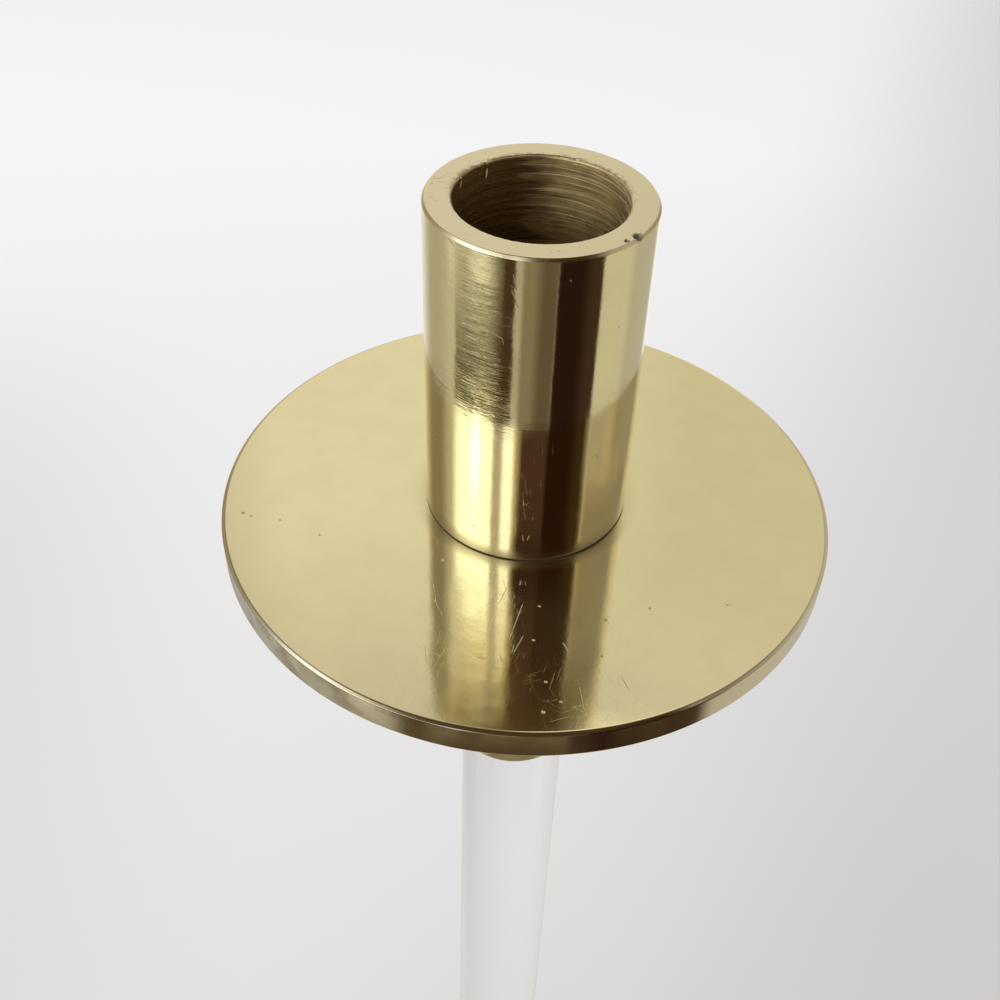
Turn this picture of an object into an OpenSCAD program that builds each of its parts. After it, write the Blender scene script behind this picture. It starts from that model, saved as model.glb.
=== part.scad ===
// Taper candle holder: a turned brass cup and drip plate on a clear rod, with a brass foot.
// Millimetres. The origin is the centre of the felt's underside, and +Z is up.
// Every piece is centred on the Z axis and is held by the stud and the screw on that axis.

/* [Candle cup] */
// Bore that takes the foot of the candle
candle_bore_d = 22.5; // [18:0.25:26]
// Wall of the cup round the bore
cup_wall = 3.75; // [2:0.25:6]
// Height of the cup above the drip plate
cup_h = 49.25; // [30:0.25:80]
// Solid brass left under the bore
cup_floor_t = 10; // [7:0.5:16]
// Rounding of the cup's top outer edge
cup_edge_r = 0.45; // [0.2:0.05:0.8]
// Chamfer at the mouth of the bore
mouth_chamfer = 0.3; // [0.1:0.1:0.8]

/* [Drip plate] */
// Diameter of the drip plate
plate_d = 91; // [60:1:130]
// Thickness of the drip plate
plate_t = 4.4; // [3:0.2:8]
// Rounding of the plate's top edge
plate_edge_r = 0.6; // [0.2:0.1:1.2]
// Rounding of the plate's bottom edge
plate_under_r = 0.3; // [0.1:0.1:0.6]

/* [Clear stem] */
// Diameter of the clear rod
stem_d = 18.4; // [14:0.2:24]
// Length of the clear rod, with the ends that sit in the ferrules
stem_len = 300; // [180:5:420]
// Chamfer at each end of the rod
stem_chamfer = 0.5; // [0.2:0.1:1]

/* [Ferrules] */
// Wall of a ferrule round the rod
ferrule_wall = 1.7; // [1:0.1:3]
// Length of a ferrule
ferrule_h = 50; // [30:1:70]
// Solid end of a ferrule, which takes the thread
ferrule_floor_t = 10; // [8:0.5:16]
// Rounding of a ferrule's open rim
ferrule_edge_r = 0.3; // [0.1:0.1:0.6]
// Gap between the rod and the socket all round, filled with cement
stem_gap = 0.08; // [0.03:0.01:0.2]

/* [Base] */
// Diameter of the base plate
base_d = 112; // [80:1:160]
// Thickness of the base plate
base_t = 8; // [6:0.5:14]
// Rounding of the base's top edge
base_edge_r = 0.9; // [0.3:0.1:2]
// Rounding of the base's bottom edge
base_under_r = 0.4; // [0.1:0.1:0.8]

/* [Felt pad] */
// Thickness of the felt
felt_t = 1.8; // [1.2:0.1:3]
// Depth of the recess that the felt is stuck in
felt_recess = 1; // [0.4:0.1:1.2]
// Brass rim left outside the felt
felt_rim = 3; // [2:0.5:8]
// Gap between the felt's edge and the recess
felt_gap = 0.2; // [0.1:0.1:0.6]

/* [Fasteners] */
// Nominal diameter of both threads
thread_d = 6; // [4:1:8]
// Pitch of both threads
thread_pitch = 1; // [0.7:0.05:1.25]
// Brass left between the stud's hole and the candle bore
cup_web_t = 1.2; // [0.8:0.1:2]
// Gap between the rod and the end of the stud or of the screw
rod_end_gap = 1; // [0.5:0.1:2]
// Diameter of the screw's countersunk head
screw_head_d = 12; // [10:0.5:16]
// Depth of the hexagon sockets
hex_socket_h = 2.4; // [1.5:0.1:3]

/* [Hidden] */
$fn = 120;

// Overrun of every cut past the face that it opens
overrun = 0.5;
// Gap all round a thread in its tapped hole
thread_gap = 0.05;
// Gap all round the stud and the screw in a plain hole
plain_gap = 0.25;
// Play left past the end of the stud in the cup
stud_end_play = 0.5;
// Land of full diameter at the rim of the screw's head
head_land_t = 0.4;
// How far the screw's head sits below the bottom of the recess
head_sink = 0.2;
// Depth of a thread as a share of its pitch
thread_depth_share = 0.6;
// Slope of a drill's point: its depth as a share of its radius
drill_point_share = 0.6;
// Width of a hexagon socket across its flats, as a share of the thread's diameter
hex_socket_share = 0.5;

// Diameters that follow from a bore and its wall
cup_d = candle_bore_d + 2 * cup_wall;
socket_d = stem_d + 2 * stem_gap;
ferrule_d = socket_d + 2 * ferrule_wall;
tapped_d = thread_d + 2 * thread_gap;
plain_hole_d = thread_d + 2 * plain_gap;
felt_d = base_d - 2 * felt_rim;
thread_depth = thread_pitch * thread_depth_share;
hex_corner_d = thread_d * hex_socket_share / cos(30);
// Depth of the socket that the rod stands in
socket_h = ferrule_h - ferrule_floor_t;
// Depths of the stud's hole in the cup: the cone that the drill leaves, and the thread below it
drill_cone_h = tapped_d / 2 * drill_point_share;
stud_hole_h = cup_floor_t - cup_web_t - drill_cone_h;
// Lengths of thread that the cup and a ferrule hold
thread_in_cup = stud_hole_h - stud_end_play;
thread_in_ferrule = ferrule_floor_t - rod_end_gap;

// Heights of the seats, from the table up
base_z = felt_t - felt_recess;
base_top_z = base_z + base_t;
stem_z = base_top_z + ferrule_floor_t;
upper_ferrule_z = stem_z + stem_len - socket_h;
plate_z = upper_ferrule_z + ferrule_h;
cup_z = plate_z + plate_t;
// Place and length of the stud
stud_z = plate_z - thread_in_ferrule;
stud_len = thread_in_ferrule + plate_t + thread_in_cup;
// Place and length of the base screw, whose head is flush with the recess apart from its sink
screw_z = base_z + felt_recess + head_sink;
screw_len = base_top_z - screw_z + thread_in_ferrule;
// Height of the cone of the countersunk head, which has a right angle at its point
head_cone_h = (screw_head_d - thread_d) / 2;

// Half section of a turned disc: radius, height, and the roundings of its top and bottom edges
module disc_section(r, h, top_r, bottom_r) {
    translate([0, bottom_r])
        square([r, h - top_r - bottom_r]);
    square([r - bottom_r, h / 2]);
    translate([0, h / 2])
        square([r - top_r, h / 2]);
    translate([r - bottom_r, bottom_r])
        circle(bottom_r);
    translate([r - top_r, h - top_r])
        circle(top_r);
}

module turned_disc(d, h, top_r, bottom_r) {
    rotate_extrude()
        disc_section(d / 2, h, top_r, bottom_r);
}

// A threaded shank that stands on z = 0: crests at the nominal diameter, one ring a pitch
module threaded_shank(length) {
    crest_r = thread_d / 2;
    root_r = crest_r - thread_depth;
    rings = floor((length - thread_depth) / thread_pitch);
    rings_h = rings * thread_pitch;
    zigzag = [for (i = [0 : rings - 1]) each [
        [root_r, i * thread_pitch],
        [crest_r, (i + 1 / 2) * thread_pitch]]];
    rotate_extrude()
        polygon([[0, 0], each zigzag, [root_r, rings_h], [root_r, length], [0, length]]);
}

// The hexagon socket of a screw, cut upwards from z = 0
module hex_socket() {
    translate([0, 0, -overrun])
        cylinder(d = hex_corner_d, h = hex_socket_h + overrun, $fn = 6);
}

// The stud's blind tapped hole, cut upwards from z = 0, with the cone that the drill leaves
module stud_hole() {
    translate([0, 0, -overrun])
        cylinder(d = tapped_d, h = stud_hole_h + overrun);
    translate([0, 0, stud_hole_h])
        cylinder(d1 = tapped_d, d2 = 0, h = drill_cone_h);
}

// Brass cup: a bore for the candle and a blind tapped hole in its solid floor
module candle_cup() {
    color([0.80, 0.70, 0.40])
        translate([0, 0, cup_z])
            difference() {
                turned_disc(cup_d, cup_h, cup_edge_r, cup_edge_r / 2);
                translate([0, 0, cup_floor_t])
                    cylinder(d = candle_bore_d, h = cup_h - cup_floor_t + overrun);
                translate([0, 0, cup_h - mouth_chamfer])
                    cylinder(
                        d1 = candle_bore_d,
                        d2 = candle_bore_d + 2 * (mouth_chamfer + overrun),
                        h = mouth_chamfer + overrun);
                stud_hole();
            }
}

// Brass plate that catches the wax, clamped between the cup and the upper ferrule
module drip_plate() {
    color([0.82, 0.73, 0.44])
        translate([0, 0, plate_z])
            difference() {
                turned_disc(plate_d, plate_t, plate_edge_r, plate_under_r);
                translate([0, 0, -overrun])
                    cylinder(d = plain_hole_d, h = plate_t + 2 * overrun);
            }
}

// Steel stud that draws the cup, the plate and the upper ferrule together
module cup_stud() {
    color([0.66, 0.67, 0.69])
        translate([0, 0, stud_z])
            difference() {
                threaded_shank(stud_len);
                hex_socket();
            }
}

// Brass socket for one end of the rod, standing on its solid, tapped end
module ferrule() {
    difference() {
        turned_disc(ferrule_d, ferrule_h, ferrule_edge_r, ferrule_edge_r);
        translate([0, 0, ferrule_floor_t])
            cylinder(d = socket_d, h = socket_h + overrun);
        translate([0, 0, -overrun])
            cylinder(d = tapped_d, h = ferrule_floor_t + 2 * overrun);
    }
}

module upper_ferrule() {
    color([0.80, 0.70, 0.40])
        translate([0, 0, plate_z])
            mirror([0, 0, 1])
                ferrule();
}

module lower_ferrule() {
    color([0.80, 0.70, 0.40])
        translate([0, 0, base_top_z])
            ferrule();
}

// Clear rod, cemented into a ferrule at each end
module clear_stem() {
    stem_r = stem_d / 2;
    end_r = stem_r - stem_chamfer;
    color([0.92, 0.94, 0.95, 0.35])
        translate([0, 0, stem_z])
            rotate_extrude()
                polygon([
                    [0, 0],
                    [end_r, 0],
                    [stem_r, stem_chamfer],
                    [stem_r, stem_len - stem_chamfer],
                    [end_r, stem_len],
                    [0, stem_len]]);
}

// Solid brass base with a recess for the felt and a countersunk hole for the screw
module base_plate() {
    sink_h = head_sink + head_land_t;
    color([0.80, 0.70, 0.40])
        translate([0, 0, base_z])
            difference() {
                turned_disc(base_d, base_t, base_edge_r, base_under_r);
                translate([0, 0, -overrun])
                    cylinder(d = felt_d, h = felt_recess + overrun);
                translate([0, 0, felt_recess - overrun])
                    cylinder(d = screw_head_d + 2 * plain_gap, h = sink_h + overrun);
                translate([0, 0, felt_recess + sink_h])
                    cylinder(
                        d1 = screw_head_d + 2 * plain_gap,
                        d2 = plain_hole_d,
                        h = head_cone_h);
                translate([0, 0, -overrun])
                    cylinder(d = plain_hole_d, h = base_t + 2 * overrun);
            }
}

// Countersunk screw that holds the lower ferrule to the base, driven from underneath
module base_screw() {
    color([0.66, 0.67, 0.69])
        translate([0, 0, screw_z])
            difference() {
                union() {
                    cylinder(d = screw_head_d, h = head_land_t);
                    translate([0, 0, head_land_t])
                        cylinder(d1 = screw_head_d, d2 = thread_d, h = head_cone_h);
                    threaded_shank(screw_len);
                }
                hex_socket();
            }
}

// Felt that keeps the brass and the screw off the table
module felt_pad() {
    color([0.16, 0.16, 0.17])
        cylinder(d = felt_d - 2 * felt_gap, h = felt_t);
}

candle_cup();
drip_plate();
cup_stud();
upper_ferrule();
clear_stem();
lower_ferrule();
base_plate();
base_screw();
felt_pad();
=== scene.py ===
"""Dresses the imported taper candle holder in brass, clear rod and felt, and lights it on a pale floor."""
import math
import random

import bpy
from mathutils import Matrix, Vector, noise


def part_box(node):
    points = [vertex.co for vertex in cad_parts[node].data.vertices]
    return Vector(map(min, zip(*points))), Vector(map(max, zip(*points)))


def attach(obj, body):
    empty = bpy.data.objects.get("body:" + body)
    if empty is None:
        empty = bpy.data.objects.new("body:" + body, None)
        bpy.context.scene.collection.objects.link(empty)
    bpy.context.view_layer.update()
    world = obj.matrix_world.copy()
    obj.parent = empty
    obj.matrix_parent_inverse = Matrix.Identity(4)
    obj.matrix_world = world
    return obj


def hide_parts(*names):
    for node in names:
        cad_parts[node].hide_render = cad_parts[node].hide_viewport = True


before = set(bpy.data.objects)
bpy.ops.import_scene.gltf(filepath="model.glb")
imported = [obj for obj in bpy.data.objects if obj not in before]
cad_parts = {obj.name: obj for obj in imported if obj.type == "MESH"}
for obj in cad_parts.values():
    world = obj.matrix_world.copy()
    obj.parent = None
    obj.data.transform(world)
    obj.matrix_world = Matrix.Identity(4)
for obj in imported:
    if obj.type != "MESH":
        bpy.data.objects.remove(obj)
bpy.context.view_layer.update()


# Base plate. A disc of brass bar, faced and turned in a lathe, then polished. Its underside has a
# shallow recess for the felt and a countersunk hole for the screw that holds the lower ferrule.
mm = 0.001
base_edge_r = 0.9 * mm
base_under_r = 0.4 * mm
felt_recess = 1 * mm
felt_rim = 3 * mm
head_hole_r = 6.25 * mm
head_hole_h = 0.6 * mm
screw_hole_r = 3.25 * mm
broken_edge = 0.1 * mm
flat_hold = 0.04 * mm
arc_steps = 5
base_segments = 512
yellow_brass = (0.88, 0.77, 0.43)
lathe_roughness = 0.1
stain_size = 5 * mm
stain_shade = 0.96
lathe_mark_length = 7 * mm
lathe_mark_width = 0.12 * mm
lathe_mark_depth = 0.002 * mm


def rounded_section(corners):
    """The half section of a turned piece, from corners of (radius, height, rounding) eased into arcs.

    A point just before and just after each arc holds the flats true in the smooth shading."""
    section = []
    for corner, (radius, height, rounding) in enumerate(corners):
        here = Vector((radius, height))
        if rounding == 0:
            section.append(here)
            continue
        back = (Vector(corners[corner - 1][:2]) - here).normalized()
        ahead = (Vector(corners[(corner + 1) % len(corners)][:2]) - here).normalized()
        half_angle = back.angle(ahead) / 2
        reach = rounding / math.tan(half_angle)
        centre = here + (back + ahead).normalized() * rounding / math.sin(half_angle)
        start = (here + back * reach - centre).normalized()
        stop = (here + ahead * reach - centre).normalized()
        section.append(here + back * (reach + flat_hold))
        for step in range(arc_steps + 1):
            section.append(centre + start.slerp(stop, step / arc_steps).normalized() * rounding)
        section.append(here + ahead * (reach + flat_hold))
    return section


def skin(name, rings):
    """One closed smooth mesh over rings of points. A ring of one point is a pole on the axis."""
    points = [point for ring in rings for point in ring]
    firsts = [sum(len(ring) for ring in rings[:row]) for row in range(len(rings))]
    faces = []
    for row, lower in enumerate(rings):
        next_row = (row + 1) % len(rings)
        upper = rings[next_row]
        low = firsts[row]
        high = firsts[next_row]
        if len(lower) == 1 and len(upper) == 1:
            continue
        count = max(len(lower), len(upper))
        for this in range(count):
            following = (this + 1) % count
            if len(lower) == 1:
                faces.append((low, high + following, high + this))
            elif len(upper) == 1:
                faces.append((low + this, low + following, high))
            else:
                faces.append((low + this, low + following, high + following, high + this))
    mesh = bpy.data.meshes.new(name)
    mesh.from_pydata(points, [], faces)
    mesh.shade_smooth()
    piece = bpy.data.objects.new(name, mesh)
    bpy.context.collection.objects.link(piece)
    return piece


def turned(name, section, segments):
    """A piece turned about the Z axis from its half section."""
    rings = []
    for radius, height in section:
        if radius == 0:
            rings.append([(0, 0, height)])
            continue
        turns = [2 * math.pi * step / segments for step in range(segments)]
        rings.append([(radius * math.cos(turn), radius * math.sin(turn), height) for turn in turns])
    return skin(name, rings)


def add(tree, kind, inputs=None, **settings):
    """A shader node. Each of its inputs is a value to set there, or another node's output to join there."""
    node = tree.nodes.new("ShaderNode" + kind)
    for name, value in settings.items():
        setattr(node, name, value)
    for socket, value in (inputs or {}).items():
        if isinstance(value, bpy.types.NodeSocket):
            tree.links.new(value, node.inputs[socket])
        else:
            node.inputs[socket].default_value = value
    return node


def sums(tree, operation, *values):
    """The result of a Math node."""
    return add(tree, "Math", dict(enumerate(values)), operation=operation).outputs[0]


def product(tree, *values):
    """Values multiplied together. For masks this is where they overlap, and a number thins them."""
    result = values[0]
    for value in values[1:]:
        result = sums(tree, "MULTIPLY", result, value)
    return result


def spread(tree, value, low, high, to_low=0.0, to_high=1.0):
    """A value moved from one range into another, and held inside it."""
    limits = {"Value": value, "From Min": low, "From Max": high, "To Min": to_low, "To Max": to_high}
    return add(tree, "MapRange", limits).outputs["Result"]


def grain(tree, place, size, detail=3.0):
    """Noise whose features are about size metres across."""
    return add(tree, "TexNoise", {"Vector": place, "Scale": 1 / size, "Detail": detail}).outputs["Fac"]


def two_tones(tree, share, first, second):
    """The first colour where the share is 0, the second where it is 1."""
    return add(tree, "Mix", {0: share, 6: (*first, 1), 7: (*second, 1)}, data_type="RGBA").outputs[2]


def blend_over(finish, mask, colour=None, roughness=None, metallic=None):
    """Works another tone, gloss or share of metal into a finish where the mask is above zero."""
    tree = finish.node_tree
    shader = tree.nodes["Principled BSDF"]
    for name, value in (("Base Color", colour), ("Roughness", roughness), ("Metallic", metallic)):
        if value is None:
            continue
        socket = shader.inputs[name]
        under = socket.links[0].from_socket if socket.is_linked else socket.default_value
        if name == "Base Color":
            mix = add(tree, "Mix", {0: mask, 6: under, 7: (*value, 1)}, data_type="RGBA").outputs[2]
        else:
            mix = add(tree, "Mix", {0: mask, 2: under, 3: value}).outputs[0]
        tree.links.new(mix, socket)


def cut_in(finish, height, depth):
    """Raises a finish by up to depth metres where height is 1, or lowers it where depth is below zero."""
    tree = finish.node_tree
    shader = tree.nodes["Principled BSDF"]
    inputs = {"Height": height, "Distance": abs(depth)}
    if shader.inputs["Normal"].is_linked:
        inputs["Normal"] = shader.inputs["Normal"].links[0].from_socket
    bump = add(tree, "Bump", inputs, invert=depth < 0)
    tree.links.new(bump.outputs["Normal"], shader.inputs["Normal"])


def radius_and_height(tree):
    """The distance of a point from the turning axis, and its height."""
    x, y, z = add(tree, "SeparateXYZ", {0: add(tree, "TexCoord").outputs["Object"]}).outputs
    square = sums(tree, "ADD", product(tree, x, x), product(tree, y, y))
    return sums(tree, "SQRT", square), z


def turning_place(tree, along, across):
    """Texture space that follows the lathe's marks: stretched round the piece, fine across it."""
    x, y, z = add(tree, "SeparateXYZ", {0: add(tree, "TexCoord").outputs["Object"]}).outputs
    return add(tree, "CombineXYZ", {
        "X": sums(tree, "DIVIDE", x, along),
        "Y": sums(tree, "DIVIDE", y, along),
        "Z": sums(tree, "DIVIDE", sums(tree, "ADD", *radius_and_height(tree)), across)}).outputs[0]


def new_finish(name):
    """A plain material, with its tree and its shader."""
    finish = bpy.data.materials.new(name)
    finish.use_nodes = True
    return finish, finish.node_tree, finish.node_tree.nodes["Principled BSDF"]


def polished_metal(name, tone, roughness, line_width=lathe_mark_width, line_depth=lathe_mark_depth):
    """Metal polished in the lathe: fine lines round the piece, faint stains and an uneven gloss."""
    finish, tree, shader = new_finish(name)
    shader.inputs["Metallic"].default_value = 1
    place = add(tree, "TexCoord").outputs["Object"]
    stains = spread(tree, grain(tree, place, stain_size, 5), 0.42, 0.72)
    stained_tone = [channel * stain_shade for channel in tone]
    tree.links.new(two_tones(tree, stains, tone, stained_tone), shader.inputs["Base Color"])
    gloss = spread(tree, stains, 0, 1, roughness - 0.01, roughness + 0.02)
    tree.links.new(gloss, shader.inputs["Roughness"])
    lines = grain(tree, turning_place(tree, lathe_mark_length, line_width), 1, 1)
    cut_in(finish, lines, line_depth)
    return finish


def fit_to_frame(piece, node, finish):
    """Puts a dressed piece in the place of its CAD node."""
    piece.data.materials.append(finish)
    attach(piece, "root")
    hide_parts(node)


base_low, base_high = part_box("base_plate")
base_r = base_high.x
recess_r = base_r - felt_rim
recess_z = base_low.z + felt_recess
cone_z = recess_z + head_hole_h
base_section = rounded_section([
    (screw_hole_r, cone_z + head_hole_r - screw_hole_r, broken_edge),
    (head_hole_r, cone_z, broken_edge),
    (head_hole_r, recess_z, broken_edge),
    (recess_r, recess_z, broken_edge),
    (recess_r, base_low.z, broken_edge),
    (base_r, base_low.z, base_under_r),
    (base_r, base_high.z, base_edge_r),
    (screw_hole_r, base_high.z, broken_edge)])
base = turned("base_disc", base_section, base_segments)
base_finish = polished_metal("polished_base", yellow_brass, lathe_roughness)
fit_to_frame(base, "base_plate", base_finish)


# Base screw. A zinc-plated steel screw with a countersunk head and a hexagon socket, driven from below
# through the base plate into the lower ferrule. The thread is a real helix with a lead-in at its end.
thread_r = 3 * mm
thread_pitch = 1 * mm
thread_depth = 0.6 * mm
socket_across_r = 1.5 * mm
hex_socket_h = 2.4 * mm
socket_tip_h = 0.2 * mm
socket_chamfer_h = 0.25 * mm
socket_mouth_share = 1.18
head_land_t = 0.4 * mm
head_edge = 0.15 * mm
shank_step = 0.05 * mm
flank_slope = 1.25
rows_in_pitch = 14
thread_segments = 48
zinc_grey = (0.60, 0.62, 0.65)
zinc_mark_width = 0.3 * mm
crystal_grey = (0.50, 0.52, 0.53)
crystal_size = 0.5 * mm
crystal_depth = 0.002 * mm


def hexagon_ring(height):
    """A ring of the hexagon socket's wall, with its corners on points of the thread's rings."""
    side = math.pi / 3
    ring = []
    for step in range(thread_segments):
        turn = 2 * math.pi * step / thread_segments
        radius = socket_across_r / math.cos(turn % side - side / 2)
        ring.append((radius * math.cos(turn), radius * math.sin(turn), height))
    return ring


def round_ring(radius, height):
    """A plain ring with as many points as the thread's rings."""
    turns = [2 * math.pi * step / thread_segments for step in range(thread_segments)]
    return [(radius * math.cos(turn), radius * math.sin(turn), height) for turn in turns]


def thread_rings(low, high, starts_at_shank):
    """Rings of a helical thread. It runs out to its root at its free ends, over one thread depth."""
    rows = round((high - low) / thread_pitch * rows_in_pitch)
    rings = []
    for row in range(rows + 1):
        height = low + (high - low) * row / rows
        ring = []
        for step in range(thread_segments):
            share = step / thread_segments
            phase = (height / thread_pitch - share) % 1
            flank = min(1, flank_slope * (1 - abs(2 * phase - 1)))
            to_end = high - height if starts_at_shank else min(height - low, high - height)
            depth = max(thread_depth * (1 - flank), thread_depth - to_end)
            radius = thread_r - depth
            turn = 2 * math.pi * share
            ring.append((radius * math.cos(turn), radius * math.sin(turn), height))
        rings.append(ring)
    return rings


def socket_rings(low):
    """The hexagon socket from its drilled bottom out to its chamfered mouth."""
    return [
        [(0, 0, low + hex_socket_h)],
        hexagon_ring(low + hex_socket_h - socket_tip_h),
        hexagon_ring(low + socket_chamfer_h),
        round_ring(socket_across_r * socket_mouth_share, low)]


def plated_steel(name):
    """Zinc plating: a faint bluish grey with a fine crystal pattern and a soft shine."""
    finish = polished_metal(name, zinc_grey, 0.3, zinc_mark_width)
    tree = finish.node_tree
    crystals = add(tree, "TexVoronoi", {
        "Vector": add(tree, "TexCoord").outputs["Object"],
        "Scale": 1 / crystal_size}).outputs["Distance"]
    blend_over(finish, spread(tree, crystals, 0.2, 0.7), crystal_grey, 0.4)
    cut_in(finish, crystals, crystal_depth)
    return finish


screw_low, screw_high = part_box("base_screw")
head_r = screw_high.x
land_z = screw_low.z + head_land_t
shank_z = land_z + head_r - thread_r
screw_rings = socket_rings(screw_low.z) + [
    round_ring(head_r - head_edge, screw_low.z),
    round_ring(head_r, screw_low.z + head_edge),
    round_ring(head_r, land_z),
    round_ring(thread_r, shank_z)]
screw_rings += thread_rings(shank_z + shank_step, screw_high.z, True) + [[(0, 0, screw_high.z)]]
zinc_plate = plated_steel("zinc_plate")
screw = skin("countersunk_screw", screw_rings)
fit_to_frame(screw, "base_screw", zinc_plate)


# Lower ferrule. A brass socket turned from bar, with a tapped floor, standing on the base plate. The rod
# is cemented into it, and its upper rim is broken with a small rounding.
ferrule_wall = 1.7 * mm
ferrule_floor_t = 10 * mm
ferrule_edge_r = 0.3 * mm
tapped_hole_r = 3.05 * mm
ferrule_segments = 384


def ferrule(name, node, open_up):
    """A ferrule in the place of its node, with its open end up or down."""
    low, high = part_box(node)
    bore_r = high.x - ferrule_wall
    shut_z, open_z = (low.z, high.z) if open_up else (high.z, low.z)
    floor_z = shut_z + (open_z - shut_z) * ferrule_floor_t / (high.z - low.z)
    section = rounded_section([
        (tapped_hole_r, shut_z, broken_edge),
        (high.x, shut_z, ferrule_edge_r),
        (high.x, open_z, ferrule_edge_r),
        (bore_r, open_z, broken_edge),
        (bore_r, floor_z, broken_edge),
        (tapped_hole_r, floor_z, broken_edge)])
    if not open_up:
        section.reverse()
    return turned(name, section, ferrule_segments)


ferrule_finish = polished_metal("polished_ferrule", yellow_brass, lathe_roughness)
lower = ferrule("lower_socket", "lower_ferrule", True)
fit_to_frame(lower, "lower_ferrule", ferrule_finish)


# Felt pad. A disc punched from black wool felt and glued into the recess. It keeps the brass and the
# screw's head off the table, and its cut edge is slightly uneven and fuzzy.
felt_black = (0.012, 0.012, 0.014)
felt_lint = (0.05, 0.05, 0.055)
felt_under_r = 0.3 * mm
felt_top_r = 0.1 * mm
felt_rings = 24
felt_segments = 360
felt_edge_step = 0.15 * mm
felt_loose_share = 0.02
felt_wave_counts = (7, 16, 37, 71)
fibre_size = 0.35 * mm
fibre_depth = 0.12 * mm
tuft_size = 2.5 * mm
tuft_depth = 0.2 * mm

felt_low, felt_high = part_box("felt_pad")
felt_r = felt_high.x
felt_steps = [felt_r * step / felt_rings for step in range(felt_rings)]
felt_corners = [(radius, felt_low.z, 0) for radius in felt_steps]
felt_corners += [(felt_r, felt_low.z, felt_under_r), (felt_r, felt_high.z, felt_top_r)]
felt_corners += [(radius, felt_high.z, 0) for radius in reversed(felt_steps)]
felt = turned("felt_disc", rounded_section(felt_corners), felt_segments)
shears = random.Random(11)
waves = [(count, shears.uniform(0, 2 * math.pi)) for count in felt_wave_counts]
for vertex in felt.data.vertices:
    turn = math.atan2(vertex.co.y, vertex.co.x)
    loose = max(0, Vector(vertex.co.xy).length / felt_r - (1 - felt_loose_share)) / felt_loose_share
    wave = sum(math.sin(count * turn + shift) for count, shift in waves) / len(waves)
    pull = felt_edge_step * loose * (wave - 1) / 2
    vertex.co.x += pull * math.cos(turn)
    vertex.co.y += pull * math.sin(turn)
wool, wool_tree, wool_shader = new_finish("wool_felt")
wool_place = add(wool_tree, "TexCoord").outputs["Object"]
fibres = add(wool_tree, "TexNoise", {
    "Vector": wool_place,
    "Scale": 1 / fibre_size,
    "Detail": 6.0,
    "Distortion": 2.5}).outputs["Fac"]
tufts = grain(wool_tree, wool_place, tuft_size)
lint = product(wool_tree, spread(wool_tree, fibres, 0.4, 0.75), spread(wool_tree, tufts, 0.2, 0.7))
wool_tree.links.new(two_tones(wool_tree, lint, felt_black, felt_lint), wool_shader.inputs["Base Color"])
wool_tree.links.new(spread(wool_tree, fibres, 0, 1, 0.9, 1), wool_shader.inputs["Roughness"])
wool_shader.inputs["Sheen Weight"].default_value = 0.4
wool_shader.inputs["Sheen Roughness"].default_value = 0.5
cut_in(wool, fibres, fibre_depth)
cut_in(wool, tufts, tuft_depth)
fit_to_frame(felt, "felt_pad", wool)


# Clear rod. Cast acrylic, cut to length, chamfered and polished, and cemented into both ferrules. It
# shows only by its darker edges and by what it bends of the floor behind it.
rod_chamfer = 0.5 * mm
rod_edge_r = 0.05 * mm
rod_segments = 384
acrylic_clear = (0.985, 0.988, 0.99)
acrylic_hazy = (0.97, 0.975, 0.98)
haze_size = 30 * mm

rod_low, rod_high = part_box("clear_stem")
rod_r = rod_high.x
rod_section = rounded_section([
    (0, rod_low.z, 0),
    (rod_r - rod_chamfer, rod_low.z, rod_edge_r),
    (rod_r, rod_low.z + rod_chamfer, rod_edge_r),
    (rod_r, rod_high.z - rod_chamfer, rod_edge_r),
    (rod_r - rod_chamfer, rod_high.z, rod_edge_r),
    (0, rod_high.z, 0)])
rod = turned("clear_rod", rod_section, rod_segments)
acrylic, acrylic_tree, acrylic_shader = new_finish("clear_acrylic")
haze = grain(acrylic_tree, add(acrylic_tree, "TexCoord").outputs["Object"], haze_size)
acrylic_tint = two_tones(acrylic_tree, haze, acrylic_clear, acrylic_hazy)
acrylic_tree.links.new(acrylic_tint, acrylic_shader.inputs["Base Color"])
acrylic_tree.links.new(spread(acrylic_tree, haze, 0.3, 0.7, 0, 0.02), acrylic_shader.inputs["Roughness"])
acrylic_shader.inputs["Transmission Weight"].default_value = 1
acrylic_shader.inputs["IOR"].default_value = 1.49
fit_to_frame(rod, "clear_stem", acrylic)


# Upper ferrule. The same socket as the lower one, upside down over the top of the rod, drawn up against
# the underside of the drip plate by the stud.
upper = ferrule("upper_socket", "upper_ferrule", False)
fit_to_frame(upper, "upper_ferrule", ferrule_finish)


# Drip plate. A flat disc of brass, faced, polished to a satin shine and handled since, so that it has
# hairline scratches in all directions and a few dark specks. The stud passes through its middle.
plate_bevel_w = 0.50 * mm
plate_bevel_h = 0.30 * mm
plate_bevel_r = 0.5 * mm
plate_corner_r = 0.15 * mm
plate_under_r = 0.3 * mm
plate_segments = 720
pale_brass = (0.88, 0.775, 0.44)
hazed_shaded_brass = (0.78, 0.67, 0.37)
foot_shade_brown = (0.42, 0.34, 0.18)
bevel_shade_brown = (0.62, 0.50, 0.25)
speck_brown = (0.25, 0.17, 0.07)
smudge_brown = (0.50, 0.40, 0.20)
side_shade_brown = (0.34, 0.25, 0.11)
plate_roughness = 0.07
plate_mark_width = 0.2 * mm
plate_mark_depth = 0.0005 * mm
swell_size = 7 * mm
swell_depth = 0.03 * mm
ripple_size = 0.5 * mm
ripple_depth = 0.0025 * mm
scratch_depth = 0.03 * mm
grit_height = 0.05 * mm
smudge_size = 3.5 * mm
hairline_length = 4 * mm
hairline_width = 0.1 * mm
hairline_depth = 0.002 * mm
hairline_patch_size = 9 * mm
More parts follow.
